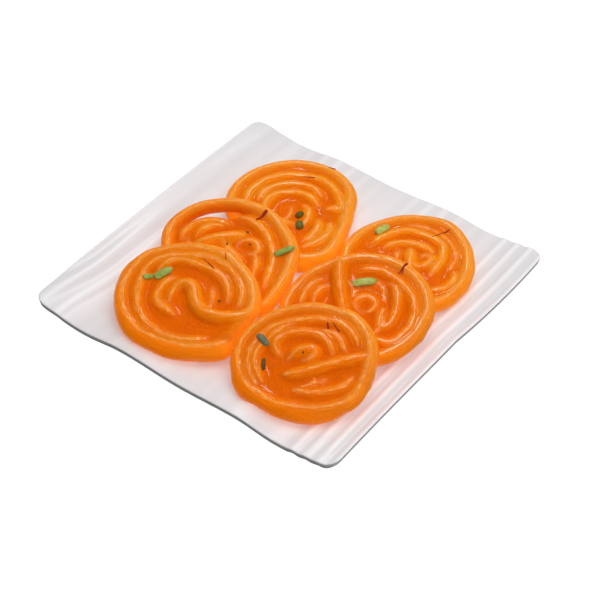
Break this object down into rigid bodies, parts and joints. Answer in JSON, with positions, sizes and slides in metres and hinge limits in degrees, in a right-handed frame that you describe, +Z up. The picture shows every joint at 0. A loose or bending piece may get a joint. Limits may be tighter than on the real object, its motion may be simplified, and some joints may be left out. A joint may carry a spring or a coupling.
{
  "type": "plate of jalebi sweets",
  "caption": "Syrup-soaked spiral jalebis, piped in fused rings of fried batter, leaning on one another on a square wavy white plate.",
  "frame": {"origin": "on the table, under the middle of the plate", "axes": "+Z up, the plate's waves run along Y, the two front jalebis lie towards -Y"},
  "size_m": [0.24, 0.24, 0.0362],
  "materials": {
    "glaze": "glossy white glaze",
    "jalebi_back_left_batter": "glossy, slightly see-through syrup over fried orange batter",
    "jalebi_back_right_batter": "glossy, slightly see-through syrup over fried orange batter",
    "jalebi_middle_left_batter": "glossy, slightly see-through syrup over fried orange batter",
    "jalebi_middle_right_batter": "glossy, slightly see-through syrup over fried orange batter",
    "jalebi_front_left_batter": "glossy, slightly see-through syrup over fried orange batter",
    "jalebi_front_right_batter": "glossy, slightly see-through syrup over fried orange batter"
  },
  "bodies": {
    "root": {"plate": "glaze", "jalebi_back_left": "jalebi_back_left_batter", "jalebi_back_right": "jalebi_back_right_batter", "jalebi_middle_left": "jalebi_middle_left_batter", "jalebi_middle_right": "jalebi_middle_right_batter", "jalebi_front_left": "jalebi_front_left_batter", "jalebi_front_right": "jalebi_front_right_batter"}
  },
  "joints": []
}
